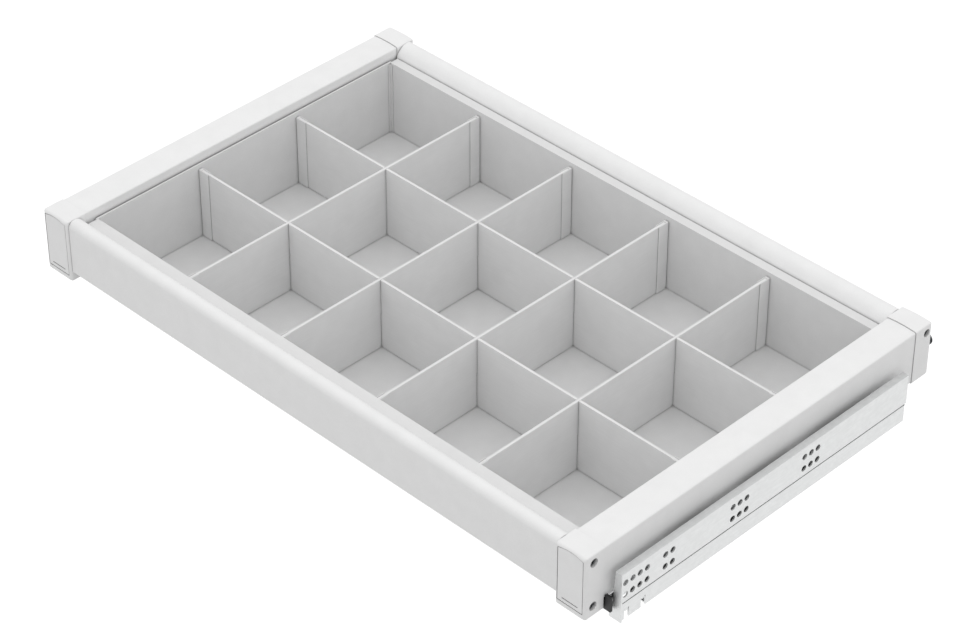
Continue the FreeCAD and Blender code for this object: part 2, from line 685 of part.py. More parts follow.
def cabinet_bracket():
    """The fixed part of a runner: a folded plate that is screwed to the wardrobe's side."""
    length = (RUNNER_FRONT, RUNNER_BACK)
    plate = box("BracketPlate", (f"{HALF} - plate_thick", HALF), length, ("plate_low", "plate_high"))
    lip = box("BracketLip", (f"{HALF} - lip_width", HALF), length, ("plate_high - plate_thick", "plate_high"))
    crease = box("BracketCrease", (LOWER_IN, HALF), length, ("plate_low", "plate_low + plate_thick"))
    lower = box("BracketLower", (LOWER_IN, LOWER_FACE), length, ("flange_low", "plate_low + plate_thick"))
    flange = box("BracketFlange", (f"{TRACK} - track_half - 1", LOWER_FACE),
                 (f"{RUNNER_FRONT} + flange_start", RUNNER_BACK), ("flange_low", TRACK_LOW))
    toe = box("BracketToe", (f"{HALF} - tab_foot", LOWER_FACE), (RUNNER_FRONT, f"{RUNNER_FRONT} + toe_length"),
              ("flange_low", TRACK_LOW))
    foot = box("BracketTabFoot", (f"{HALF} - tab_foot", HALF), (RUNNER_FRONT, f"{RUNNER_FRONT} + plate_thick"),
               ("flange_low", "tab_waist_low"))
    tab = doc.addObject("Part::Wedge", "BracketTab")
    tab.Placement = FreeCAD.Placement(FreeCAD.Vector(), FreeCAD.Rotation(FreeCAD.Vector(1, 0, 0), 90))
    bind(tab, Xmin=f"{HALF} - tab_waist - 1", Xmax=HALF, X2min=f"{HALF} - lip_width", X2max=HALF,
         Ymin="flange_low", Ymax="plate_high", Zmin="0", Zmax="plate_thick", Z2min="0", Z2max="plate_thick")
    place(tab, "0", f"{RUNNER_FRONT} + plate_thick", "0")
    solid = fuse("BracketSolid", plate, lip, crease, lower, flange, toe, foot, tab)
    tools = []
    for number, start in enumerate(("notch_one", "notch_two")):
        y = f"({RUNNER_FRONT} + {start})"
        tools.append(box(f"BracketNotch{number}", (f"{LOWER_IN} - 1", f"{LOWER_FACE} + 1"),
                         (y, f"{y} + notch_width"), ("flange_low - 1", "notch_top")))
    for start, columns in (("group_one", 4), ("group_two", 2), ("group_three", 3), ("group_four", 3)):
        for column in range(columns):
            for row in ("row_low", "row_high"):
                y = f"({RUNNER_FRONT} + {start} + hole_pitch * {column})"
                tools.append(rod(f"Hole_{start}_{column}_{row}", "x", (f"{HALF} - plate_thick - 1", y, row),
                                 "hole_radius", "plate_thick + 2"))
    pair("cabinet_bracket", cut("Bracket", solid, *tools))


cabinet_bracket()


# ---------------------------------------------------------------- telescopic members

TUBE_LOW = f"({TRACK_LOW} + track_wall + tube_gap)"
TUBE_HIGH = "(rail_bottom - track_wall - tube_gap)"


def channel(name, y, web, legs):
    """A U of sheet steel centred on the track: web and legs are (low, high) heights."""
    parts = [box(name + "Web", (f"{TRACK} - track_half", f"{TRACK} + track_half"), y, web)]
    for hand, sign in (("Outer", "+"), ("Inner", "-")):
        near, far = f"{TRACK} {sign} (track_half - track_wall)", f"{TRACK} {sign} track_half"
        x = (near, far) if sign == "+" else (far, near)
        parts.append(box(name + hand, x, y, legs))
    return fuse(name, *parts)


pair("fixed_track", channel("FixedTrack", (f"{RUNNER_FRONT} + track_start", RUNNER_BACK),
                            (TRACK_LOW, f"{TRACK_LOW} + track_wall"), (TRACK_LOW, "track_high")))


def drawer_member():
    """The moving channel, screwed up into the side rail."""
    web = "(rail_bottom - track_wall)"
    blank = channel("MemberBlank", (MEMBER_FRONT, MEMBER_BACK), (web, "rail_bottom"),
                    ("member_low", "rail_bottom"))
    holes = []
    screws = []
    for number, share in enumerate(MEMBER_SCREW_STEPS):
        y = member_screw_y(share)
        holes.append(rod(f"MemberHole{number}", "z", (TRACK, y, f"{web} - 1"),
                         "member_screw_radius + screw_gap", "track_wall + 2"))
        holes.append(rod(f"MemberSink{number}", "z", (TRACK, y, f"{web} - 1"),
                         "member_head_radius + screw_gap", "member_head_height + 1"))
        shank = rod(f"MemberScrewShank{number}", "z", (TRACK, y, web), "member_screw_radius",
                    "member_screw_length")
        head = rod(f"MemberScrewHead{number}", "z", (TRACK, y, web), "member_head_radius",
                   "member_head_height")
        screws.append(fuse(f"MemberScrew{number}", shank, head))
    pair("drawer_member", cut("Member", blank, *holes))
    pair("member_screws", group("MemberScrews", *screws))


drawer_member()

TUBE_Y = (MEMBER_FRONT, f"({RUNNER_BACK} - tube_short)")
tube_skin = box("TubeSkin", (f"{TRACK} - tube_half", f"{TRACK} + tube_half"), TUBE_Y, (TUBE_LOW, TUBE_HIGH))
tube_core = box("TubeCore", (f"{TRACK} - tube_half + tube_wall", f"{TRACK} + tube_half - tube_wall"),
                (f"{TUBE_Y[0]} - 1", f"{TUBE_Y[1]} + 1"), (f"{TUBE_LOW} + tube_wall", f"{TUBE_HIGH} - tube_wall"))
pair("intermediate_member", cut("Intermediate", tube_skin, tube_core))

CAGE_Y = (f"({RUNNER_FRONT} + cage_start)", f"({RUNNER_FRONT} + cage_start + cage_length)")
BALL_X = "((track_half - track_wall + tube_half) / 2)"


def ball_cage(name, upper):
    """A thin strip folded round the middle member, with two rows of balls in its legs."""
    middle = f"({TUBE_HIGH} + tube_gap / 2)" if upper else f"({TUBE_LOW} - tube_gap / 2)"
    strip = (f"{middle} - cage_thick / 2", f"{middle} + cage_thick / 2")
    legs = (f"{strip[1]} - cage_leg", strip[1]) if upper else (strip[0], f"{strip[0]} + cage_leg")
    ball_z = f"({middle} - ball_height)" if upper else f"({middle} + ball_height)"
    tag = "Inner" if upper else "Outer"
    across = (f"{TRACK} - {BALL_X} - cage_thick / 2", f"{TRACK} + {BALL_X} + cage_thick / 2")
    parts = [box(tag + "CageStrip", across, CAGE_Y, strip)]
    holes = []
    balls = []
    for hand, sign in (("Right", "+"), ("Left", "-")):
        x = f"({TRACK} {sign} {BALL_X})"
        parts.append(box(f"{tag}CageLeg{hand}", (f"{x} - cage_thick / 2", f"{x} + cage_thick / 2"), CAGE_Y, legs))
        for number in range(BALLS_PER_ROW):
            y = f"({CAGE_Y[0]} + cage_length * {(number + 0.5) / BALLS_PER_ROW:.4f})"
            holes.append(rod(f"{tag}CageHole{hand}{number}", "x", (f"{x} - cage_thick", y, ball_z),
                             "ball_radius + 0.1", "cage_thick * 2"))
            ball = doc.addObject("Part::Sphere", f"{tag}Ball{hand}{number}")
            balls.append(place(bind(ball, Radius="ball_radius"), x, y, ball_z))
    pair(f"{name}_cage", cut(tag + "Cage", fuse(tag + "CageBlank", *parts), *holes))
    pair(f"{name}_balls", group(tag + "Balls", *balls))


ball_cage("outer", False)
ball_cage("inner", True)

pair("rear_stop", box("RearStop", (f"{TRACK} - tube_half", f"{TRACK} + tube_half"),
                      (f"{RUNNER_BACK} - stop_length", RUNNER_BACK), (f"{TRACK_LOW} + track_wall", "stop_high")))


# ---------------------------------------------------------------- front catch

CATCH_Y = (f"({RUNNER_FRONT} - catch_gap - catch_thick)", f"({RUNNER_FRONT} - catch_gap)")
HINGE_Y = f"({RUNNER_FRONT} - catch_gap - catch_thick / 2)"
HINGE_Z = f"({FRONT_LOW} - lever_drop)"
CATCH_LOW = f"({HINGE_Z} + hub_radius + hub_gap)"
EAR_IN = "(lever_half + lever_gap)"


def catch():
    """The clip that holds the frame on the runner, its release lever and the lever's pin."""
    core = box("CatchCore", (f"{TRACK} - catch_reach", f"{TRACK} + catch_reach"), CATCH_Y,
               (CATCH_LOW, "rail_bottom"))
    nose = box("CatchNose", (f"{TRACK} + catch_reach - 1", f"{SIDE_OUT} + nose_reach"),
               (CATCH_Y[0], f"{CATCH_Y[0]} + nose_thick"), (f"{CATCH_LOW} - 1", "rail_bottom"))
    thumb = box("CatchThumb", (f"{SIDE_OUT} + nose_gap", f"{SIDE_OUT} + nose_reach"),
                (CATCH_Y[0], f"{CATCH_Y[0]} + nose_thick"), ("rail_bottom - 1", "rail_bottom + nose_rise"))
    ears = []
    for hand, sign in (("Right", "+"), ("Left", "-")):
        near, far = f"{TRACK} {sign} {EAR_IN}", f"{TRACK} {sign} ({EAR_IN} + ear_width)"
        x = (near, far) if sign == "+" else (far, near)
        ears.append(box("CatchEar" + hand, x, CATCH_Y, (f"{HINGE_Z} - ear_depth", f"{CATCH_LOW} + 1")))
    bore = rod("CatchBore", "x", (f"{TRACK} - catch_reach", HINGE_Y, HINGE_Z), "hinge_radius + hinge_gap",
               "2 * catch_reach")
    pair("catch_body", cut("Catch", fuse("CatchSolid", core, nose, thumb, *ears), bore))
    pin_half = f"({EAR_IN} + ear_width)"
    pair("catch_pin", rod("CatchPin", "x", (f"{TRACK} - {pin_half}", HINGE_Y, HINGE_Z), "hinge_radius",
                          f"2 * {pin_half}"))
    hub = rod("LeverHub", "x", (f"{TRACK} - lever_half", HINGE_Y, HINGE_Z), "hub_radius", "2 * lever_half")
    tongue = box("LeverTongue", (f"{TRACK} - lever_half", f"{TRACK} + lever_half"),
                 (f"{HINGE_Y} - lever_length", HINGE_Y),
                 (f"{HINGE_Z} - lever_thick / 2", f"{HINGE_Z} + lever_thick / 2"))
    eye = rod("LeverEye", "x", (f"{TRACK} - lever_half - 1", HINGE_Y, HINGE_Z), "hinge_radius + hinge_gap",
              "2 * lever_half + 2")
    pair("catch_lever", cut("Lever", fuse("LeverSolid", hub, tongue), eye))


catch()


# ---------------------------------------------------------------- rear bracket

def rear_bracket():
    """A folded strip behind the rear block: the clamp screw holds it, its foot hooks the runner."""
    foot_z = ("rail_bottom - back_drop - foot_thick", "rail_bottom - back_drop")
    plate = box("RearPlate", (f"{TRACK} - bracket_inner", f"{TRACK} + bracket_outer"), (FACE, BRACKET_BACK),
                (foot_z[0], f"{END_SCREW_Z} + bracket_rise"))
    foot = box("RearFoot", (f"{TRACK} - foot_half", f"{TRACK} + foot_half"), (RUNNER_BACK, BRACKET_BACK), foot_z)
    hole = rod("RearHole", "y", (CLAMP_X, f"{FACE} - 1", END_SCREW_Z), SCREW_HOLE, "bracket_thick + 2")
    pair("rear_bracket", cut("RearBracket", fuse("RearBracketSolid", plate, foot), hole))


rear_bracket()


# ---------------------------------------------------------------- checks and export

doc.recompute()
for thing in doc.Objects:
    if "Invalid" in thing.State or "Error" in thing.State:
        raise RuntimeError(f"{thing.Name} ({thing.Label}) did not compute: {thing.State}")
for label, thing in nodes.items():
    shape = thing.Shape
    if shape.isNull() or not shape.isValid() or not shape.Solids:
        raise RuntimeError(f"{label} has no sound solid")

os.makedirs("parts", exist_ok=True)
for label, thing in nodes.items():
    thing.Shape.exportStep(f"parts/{label}.step")
print(len(nodes), "sub-parts written")
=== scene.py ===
# %% [markdown]
# This lesson dresses a pull-out wardrobe drawer: a white frame on two telescopic runners, with a
# lift-out tray that thin dividers split into compartments.  The exact sizes and the moving bodies
# come from the CAD model, so the first step loads it as a fixed frame.  Every new piece is then made
# round a CAD part and rides on that part's body, so it moves when the drawer does.

# %% Load the CAD frame
import json
import math

import bmesh
import bpy
from mathutils import Matrix, Vector

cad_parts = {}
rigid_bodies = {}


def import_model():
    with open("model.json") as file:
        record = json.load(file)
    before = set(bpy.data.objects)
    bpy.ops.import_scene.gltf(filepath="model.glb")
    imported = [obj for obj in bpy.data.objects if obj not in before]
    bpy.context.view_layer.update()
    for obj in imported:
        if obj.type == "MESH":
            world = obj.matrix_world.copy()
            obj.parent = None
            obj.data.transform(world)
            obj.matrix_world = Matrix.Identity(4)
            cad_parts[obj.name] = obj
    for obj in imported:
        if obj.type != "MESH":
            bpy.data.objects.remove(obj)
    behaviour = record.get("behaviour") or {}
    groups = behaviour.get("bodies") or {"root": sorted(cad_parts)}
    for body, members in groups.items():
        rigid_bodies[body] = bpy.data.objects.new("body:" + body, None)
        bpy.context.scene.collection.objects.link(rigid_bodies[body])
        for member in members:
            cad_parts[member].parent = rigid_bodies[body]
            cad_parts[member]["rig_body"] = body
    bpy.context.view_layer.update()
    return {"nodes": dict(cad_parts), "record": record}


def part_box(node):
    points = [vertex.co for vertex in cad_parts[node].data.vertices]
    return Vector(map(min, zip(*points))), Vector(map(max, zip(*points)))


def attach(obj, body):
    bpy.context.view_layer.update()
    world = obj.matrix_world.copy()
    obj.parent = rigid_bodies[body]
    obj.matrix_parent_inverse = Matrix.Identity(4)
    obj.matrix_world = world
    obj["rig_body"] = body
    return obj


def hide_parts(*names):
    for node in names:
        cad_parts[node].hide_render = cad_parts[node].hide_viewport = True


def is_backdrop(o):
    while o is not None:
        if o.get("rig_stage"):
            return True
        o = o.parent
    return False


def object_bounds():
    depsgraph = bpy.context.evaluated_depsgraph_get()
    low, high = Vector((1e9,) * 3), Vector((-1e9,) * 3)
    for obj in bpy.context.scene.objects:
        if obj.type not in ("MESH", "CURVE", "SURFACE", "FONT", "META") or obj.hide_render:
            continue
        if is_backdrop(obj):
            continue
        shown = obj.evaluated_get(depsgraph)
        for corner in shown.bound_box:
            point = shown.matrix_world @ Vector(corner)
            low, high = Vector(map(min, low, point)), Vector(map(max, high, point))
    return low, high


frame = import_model()
nodes = frame["nodes"]
MM = 0.001
slot_of = {part["node"]: part["material_slot"] for part in frame["record"]["subparts"]}
body_of = {name: node["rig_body"] for name, node in nodes.items()}

# %% [markdown]
# The camera comes early, so that everything after it can be judged in the same view.  The drawer is
# seen from its front right corner, from above, with a long lens that keeps its edges nearly parallel.
# Direction and place are given apart: the two angles turn the camera, and its place says where it
# stands.  The long lens (about 120 mm on a 36 mm sensor) is why that is about three metres away.

# %% Camera
CAMERA_AZIMUTH = math.radians(44.886)
CAMERA_ELEVATION = math.radians(37.462)
CAMERA_PLACE = Vector((1.7400, -1.7434, 1.9205))
camera_data = bpy.data.cameras.new("drawer_camera")
camera_data.sensor_width = 36.0
camera_data.lens = 119.4
camera_data.clip_end = 60.0
camera = bpy.data.objects.new("drawer_camera", camera_data)
bpy.context.scene.collection.objects.link(camera)
towards_camera = Vector((math.sin(CAMERA_AZIMUTH) * math.cos(CAMERA_ELEVATION),
                         -math.cos(CAMERA_AZIMUTH) * math.cos(CAMERA_ELEVATION),
                         math.sin(CAMERA_ELEVATION)))
camera.location = CAMERA_PLACE
camera.rotation_mode = "QUATERNION"
camera.rotation_quaternion = (-towards_camera).to_track_quat("-Z", "Y")
bpy.context.scene.camera = camera
print("camera is", round(CAMERA_PLACE.length, 2), "m from the tray's middle")

# %% [markdown]
# Every finish and the sky are shader node trees.  Making nodes by hand takes many lines, so three
# helpers do it: one adds a node and wires it up, one turns a hex colour into the linear values that
# shaders work in, and one mixes two colours.  The Mix node has a set of sockets for each kind of
# value, all with the same names, so its colour sockets are reached by their numbers.

# %% Helpers for shader nodes
MIX_FIRST, MIX_SECOND, MIX_RESULT = 6, 7, 2


def add_node(tree, kind, settings=None, links=None):
    """Add a shader node, set its inputs or properties, and link other sockets into it."""
    made = tree.nodes.new(kind)
    for name, value in (settings or {}).items():
        if name in made.inputs:
            made.inputs[name].default_value = value
        else:
            setattr(made, name, value)
    for name, source in (links or {}).items():
        tree.links.new(source, made.inputs[name])
    return made


def colour(hex_code):
    """An sRGB hex colour as the linear colour that shaders work in."""
    channels = [int(hex_code[i:i + 2], 16) / 255 for i in (1, 3, 5)]
    linear = [c / 12.92 if c <= 0.04045 else ((c + 0.055) / 1.055) ** 2.4 for c in channels]
    return (*linear, 1.0)


def mix_colours(tree, factor, dark, light):
    """Mix two hex colours by a factor socket, and return the socket of the mixed colour."""
    mix = add_node(tree, "ShaderNodeMix", {"data_type": "RGBA"}, {0: factor})
    mix.inputs[MIX_FIRST].default_value = colour(dark)
    mix.inputs[MIX_SECOND].default_value = colour(light)
    return mix.outputs[MIX_RESULT]


print("middle grey is", round(colour("#808080")[0], 3), "in linear light")

# %% [markdown]
# White parts only read as solid when their sides differ in brightness.  A studio gets that with a
# bright ceiling over darker walls.  Here a dome of sky does it: bright above the horizon and dimmer
# below, with a soft change between.  Tops are then brightest, upright sides come next, and the insides
# of the compartments, which see little of the dome, are dimmest.

# %% Sky
SKY_ABOVE = 0.89
SKY_BELOW = 0.44
HORIZON_BLEND = 0.35
world = bpy.data.worlds.new("studio_sky")
world.use_nodes = True
world.node_tree.nodes.clear()
direction = add_node(world.node_tree, "ShaderNodeTexCoord")
height = add_node(world.node_tree, "ShaderNodeSeparateXYZ",
                  links={"Vector": direction.outputs["Generated"]})
brightness = add_node(world.node_tree, "ShaderNodeMapRange",
                      {"From Min": -HORIZON_BLEND, "From Max": HORIZON_BLEND,
                       "To Min": SKY_BELOW, "To Max": SKY_ABOVE},
                      {"Value": height.outputs["Z"]})
sky = add_node(world.node_tree, "ShaderNodeBackground", {"Color": colour("#FFFFFF")},
               {"Strength": brightness.outputs["Result"]})
add_node(world.node_tree, "ShaderNodeOutputWorld", links={"Surface": sky.outputs["Background"]})
bpy.context.scene.world = world
bpy.context.scene.view_settings.view_transform = "Standard"
print("sky", SKY_ABOVE, "above and", SKY_BELOW, "below the horizon")

# %% [markdown]
# One weak softbox hangs overhead and adds a little to the tops.  A small lamp would throw hard
# shadows of the dividers into the compartments, so the panel is made several times wider than the
# drawer: the larger the source, the softer the shadow.

# %% Softbox
SOFTBOX_HEIGHT = 3.2
SOFTBOX_SIDE = 3.4
SOFTBOX_POWER = 12.0


def add_panel(name, place, aim, side, power):
    """A square light panel at a place, facing a point."""
    light = bpy.data.lights.new(name, "AREA")
    light.shape = "SQUARE"
    light.size = side
    light.energy = power
    panel = bpy.data.objects.new(name, light)
    panel.location = place
    panel.rotation_mode = "QUATERNION"
    panel.rotation_quaternion = (Vector(aim) - Vector(place)).to_track_quat("-Z", "Y")
    bpy.context.scene.collection.objects.link(panel)


add_panel("overhead_softbox", (0.0, 0.0, SOFTBOX_HEIGHT), (0, 0, 0), SOFTBOX_SIDE, SOFTBOX_POWER)
print("softbox of", SOFTBOX_POWER, "W,", SOFTBOX_SIDE, "m wide")

# %% [markdown]
# The background is a sheet of white paper well below the drawer, bright enough to show as white.  It
# could be lit by more lamps, but they would light the drawer too, so the paper glows by itself.  A
# floor this bright would fill the sides from below and undo what the sky does, so it is hidden from
# diffuse light: it is seen and mirrored, and lights no matt surface.

# %% Floor
FLOOR_DEPTH = 0.45
FLOOR_HALF_SIDE = 9.0
FLOOR_GLOW = 0.86
floor_bm = bmesh.new()
bmesh.ops.create_grid(floor_bm, x_segments=4, y_segments=4, size=FLOOR_HALF_SIDE,
                      matrix=Matrix.Translation((0, 0, -FLOOR_DEPTH)))
floor_mesh = bpy.data.meshes.new("studio_floor")
floor_bm.to_mesh(floor_mesh)
floor_bm.free()
floor = bpy.data.objects.new("studio_floor", floor_mesh)
bpy.context.scene.collection.objects.link(floor)
floor.visible_diffuse = False
floor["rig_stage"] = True
paper = bpy.data.materials.new("matt_white_paper_sweep")
paper.use_nodes = True
paper.node_tree.nodes.clear()
fibres = add_node(paper.node_tree, "ShaderNodeTexNoise", {"Scale": 40.0, "Detail": 3.0})
tone = mix_colours(paper.node_tree, fibres.outputs["Fac"], "#8C8C8C", "#929292")
sweep = add_node(paper.node_tree, "ShaderNodeBsdfPrincipled",
                 {"Roughness": 0.9, "Emission Color": colour("#FFFFFF"),
                  "Emission Strength": FLOOR_GLOW},
                 {"Base Color": tone})
add_node(paper.node_tree, "ShaderNodeOutputMaterial", links={"Surface": sweep.outputs["BSDF"]})
floor_mesh.materials.append(paper)
print("floor is", FLOOR_DEPTH, "m under the tray")

# %% [markdown]
# Each finish starts from what the real part is and how its surface was made.  All of them share one
# recipe.  A fine grain bumps the surface, and a coarser pattern makes patches.  Grain and patches
# together shift the colour by a few percent, and the patches alone shift the roughness.  Sizes are
# given in millimetres and turned to scales, because Object coordinates count metres.  A single colour
# with no pattern would look like a drawing, so even the whites get one.
#
# Seams between parts are darker than the open surface, because little light gets into them.  Light
# alone shows them faintly on white, so an ambient occlusion node with a reach of a few millimetres
# paints shade into the colour there.  That painted shade is a choice of the finish, not measured
# light.

# %% One maker for the finishes
SEAM_REACH = 4.0 * MM


def finish(name, light, dark, roughness, grain_mm, bump_mm, patch_mm=18.0, stretch=(1, 1, 1),
           metallic=0.0, rough_swing=0.06, seam_shade=0.42):
    """A finish whose grain bumps it, and whose grain and patches shift its colour between two values."""
    material = bpy.data.materials.new(name)
    material.use_nodes = True
    tree = material.node_tree
    tree.nodes.clear()
    place = add_node(tree, "ShaderNodeTexCoord")
    pulled = add_node(tree, "ShaderNodeMapping", {"Scale": stretch},
                      {"Vector": place.outputs["Object"]})
    grain = add_node(tree, "ShaderNodeTexNoise",
                     {"Scale": 1 / (grain_mm * MM), "Detail": 4.0, "Roughness": 0.55},
                     {"Vector": pulled.outputs["Vector"]})
    patches = add_node(tree, "ShaderNodeTexNoise", {"Scale": 1 / (patch_mm * MM), "Detail": 2.0},
                       {"Vector": place.outputs["Object"]})
    both = add_node(tree, "ShaderNodeMath", {"operation": "MULTIPLY"},
                    {0: grain.outputs["Fac"], 1: patches.outputs["Fac"]})
    wide = add_node(tree, "ShaderNodeMapRange", {"From Min": 0.12, "From Max": 0.42},
                    {"Value": both.outputs["Value"]})
    tint = mix_colours(tree, wide.outputs["Result"], dark, light)
    # Painted shade: the ambient occlusion node darkens the colour near other parts, as shade in a seam
    # would.
    seam_occlusion = add_node(tree, "ShaderNodeAmbientOcclusion", {"samples": 8, "Distance": SEAM_REACH},
                      {"Color": tint})
    shade = add_node(tree, "ShaderNodeMapRange",
                     {"From Min": 0.15, "From Max": 0.85, "To Min": seam_shade},
                     {"Value": seam_occlusion.outputs["AO"]})
    painted_seam_shade_tint = add_node(tree, "ShaderNodeVectorMath", {"operation": "SCALE"},
                      {0: tint, "Scale": shade.outputs["Result"]})
    gloss = add_node(tree, "ShaderNodeMapRange",
                     {"To Min": roughness - rough_swing, "To Max": roughness + rough_swing},
                     {"Value": patches.outputs["Fac"]})
    relief = add_node(tree, "ShaderNodeBump", {"Strength": 0.6, "Distance": bump_mm * MM},
                      {"Height": grain.outputs["Fac"]})
    shader = add_node(tree, "ShaderNodeBsdfPrincipled", {"Metallic": metallic},
                      {"Base Color": painted_seam_shade_tint.outputs["Vector"], "Roughness": gloss.outputs["Result"],
                       "Normal": relief.outputs["Normal"]})
    add_node(tree, "ShaderNodeOutputMaterial", links={"Surface": shader.outputs["BSDF"]})
    return material


print("seams darken within", round(SEAM_REACH / MM, 1), "mm of a neighbour")

# %% [markdown]
# Four of the finishes are white, and they differ in how the surface was made.  Paint, mould, rolled
# sheet and drawn strip each leave their own texture, so each has its own grain, sheen and tone.  The
# joints in the tray and between the dividers are open corners, where more light gets in than between
# two blocks, so their seams are darkened less.

# %% Finishes of the white parts
# Powder coat melts into a smooth skin with a faint orange-peel ripple, about 1 mm from crest to crest.
powder_coat = finish("powder_coated_aluminium_white", "#F4F4F4", "#EFEFEF", 0.42, 1.1, 0.012)
# ABS copies its mould: a fine spark-eroded grain of about half a millimetre, and a soft sheen.
moulded_abs = finish("moulded_abs_white", "#F4F4F4", "#EFEFEF", 0.40, 0.45, 0.015)
# The tray is made of matt polystyrene sheet, with a barely visible calender texture.
sheet_polystyrene = finish("calendered_polystyrene_sheet_white", "#E6E6E6", "#E1E1E1", 0.50, 0.8,
                           0.012, seam_shade=0.62)
# Extruded strips carry drawn lines along their length; the stretch flattens the grain into such lines.
extruded_polystyrene = finish("extruded_polystyrene_white", "#EAEAEA", "#E5E5E5", 0.38, 0.9, 0.010,
                              stretch=(0.03, 0.03, 1.0), seam_shade=0.55)
whites = (powder_coat, moulded_abs, sheet_polystyrene, extruded_polystyrene)
print("white finishes ready:", [material.name for material in whites])

# %% [markdown]
# The runners mix several steels, and their screws, catches and stops are dark.  Rolled metal keeps
# fine lines along the way it was rolled, which a stretched grain gives; ground balls have almost no
# texture.  The black plastic and the black rubber differ mainly in sheen.

# %% Finishes of the runners, screws and catch
# Galvanised strip is dull grey, rolled along the runner, so its grain is drawn out along Y.
galvanised = finish("rolled_galvanised_steel", "#E0E1E1", "#D6D7D7", 0.50, 0.7, 0.006,
                    patch_mm=6.0, stretch=(1.0, 0.04, 1.0), metallic=1.0)
# Turned screws are blackened in a hot salt bath, which leaves a dark grey sheen.
black_oxide = finish("black_oxide_turned_steel", "#5E6063", "#46484B", 0.34, 0.3, 0.006,
                     patch_mm=3.0, metallic=1.0)
# Cage strip is cold rolled and left bare.
bare_strip = finish("cold_rolled_bare_strip", "#A9ABAD", "#94979A", 0.36, 0.4, 0.006,
                    patch_mm=4.0, stretch=(1.0, 0.05, 1.0), metallic=1.0)
# Bearing balls are ground and lapped nearly to a mirror.
lapped_steel = finish("lapped_bearing_steel", "#D2D4D6", "#C9CBCD", 0.10, 0.2, 0.002,
                      patch_mm=2.0, metallic=1.0, rough_swing=0.03)
# Glass-filled nylon moulds dull and slightly mottled, because fibres lie close under its skin.
filled_nylon = finish("moulded_glass_filled_nylon_black", "#2A2A2B", "#1C1C1D", 0.52, 0.5, 0.03,
                      patch_mm=3.0)
# The stop is moulded nitrile rubber, matt and fine-pored.
nitrile = finish("moulded_nitrile_rubber_black", "#1D1D1D", "#141414", 0.80, 0.6, 0.03, patch_mm=4.0)
others = (galvanised, black_oxide, bare_strip, lapped_steel, filled_nylon, nitrile)
print("other finishes ready:", [material.name for material in others])

# %% [markdown]
# Every CAD part already names the stock it is made of.  One table turns that name into a finish, so a
# part gets the right one without being named here, and a new part of the same stock would as well.

# %% Give each CAD part its finish
FINISH_OF = {
    "rail_paint": powder_coat, "block_plastic": moulded_abs, "tray_plastic": sheet_polystyrene,
    "divider_plastic": extruded_polystyrene, "runner_steel": galvanised, "screw_steel": black_oxide,
    "cage_steel": bare_strip, "ball_steel": lapped_steel, "catch_plastic": filled_nylon,
    "stop_rubber": nitrile,
}
for name, node in nodes.items():
    node.data.materials.clear()
    node.data.materials.append(FINISH_OF[slot_of[name]])
print("finishes given to", len(nodes), "CAD parts")

# %% [markdown]
# A CAD part has perfectly sharp edges, and a real one never does: sheet steel is deburred, a moulding
# has the mould's small radii, a cut plastic strip is scraped.  Those tiny radii catch the light, and
# without them a white object falls apart into flat grey shapes.  A CAD mesh is loose triangles, so a
# copy is first joined into one skin with whole flat faces.  Then a Bevel modifier rounds every edge
# that turns by more than 30 degrees.  The copy stands for its CAD part and rides on the same body.
#
# The modifier normally stops neighbouring radii from running into each other.  It does so for a whole
# piece at once, so one very short edge can bring every radius on that piece close to nothing.  The
# limit can be switched off, at the risk of folded faces, so only a few pieces do that.

# %% Copy a CAD part and soften its edges
SHARP_ANGLE = math.radians(30)
SAME_POINT = 0.002 * MM
FLAT_ANGLE = math.radians(0.5)


def joined_copy(name):
    """A CAD part as a bmesh, with doubles merged and flat areas made whole."""
    bm = bmesh.new()
    bm.from_mesh(nodes[name].data)
    bmesh.ops.remove_doubles(bm, verts=bm.verts, dist=SAME_POINT)
    bmesh.ops.dissolve_limit(bm, angle_limit=FLAT_ANGLE, verts=bm.verts, edges=bm.edges,
                             use_dissolve_boundaries=False)
    return bm


def make_piece(name, bm, stands_for, edge_mm=0.0, segments=2, clamp=True):
    """Turn a bmesh into a piece that replaces CAD parts, rides on their body and has their finish."""
    first = stands_for[0]
    mesh = bpy.data.meshes.new(name)
    bm.normal_update()
    for face in bm.faces:
        face.smooth = True
    for edge in bm.edges:
        edge.smooth = abs(edge.calc_face_angle(0)) < SHARP_ANGLE
    bm.to_mesh(mesh)
    bm.free()
    mesh.materials.append(FINISH_OF[slot_of[first]])
    piece = bpy.data.objects.new(name, mesh)
    bpy.context.scene.collection.objects.link(piece)
    if edge_mm:
        bevel = piece.modifiers.new("softened_edges", "BEVEL")
        bevel.width = edge_mm * MM
        bevel.segments = segments
        bevel.limit_method = "ANGLE"
        bevel.angle_limit = SHARP_ANGLE
        bevel.use_clamp_overlap = clamp
        bevel.harden_normals = True
    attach(piece, body_of[first])
    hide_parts(*stands_for)
    return piece


def soften(name, edge_mm, segments=2, clamp=True):
    """Replace one CAD part with a copy whose edges are rounded."""
    return make_piece(name + "_softened", joined_copy(name), [name], edge_mm, segments, clamp)


print("edges that turn by more than", round(math.degrees(SHARP_ANGLE)), "degrees get rounded")

# %% [markdown]
# The frame is four hollow rails and four corner blocks, and a cover closes the front of each front
# block.  The front and back rails are extrusions with a domed top, and the side rails are nearly flat
# on top.  Each piece asks for a small radius, so that a thin line shows where two of them meet; at a
# joint that is nearly flush the line can be faint.  On the back and side rails the limit would leave
# almost no radius, so the rails and covers switch it off; the covers come out the same either way.
# The corner blocks keep it, and their small edges come out almost sharp: what can be seen on them is
# the larger rounding that the CAD part already has.

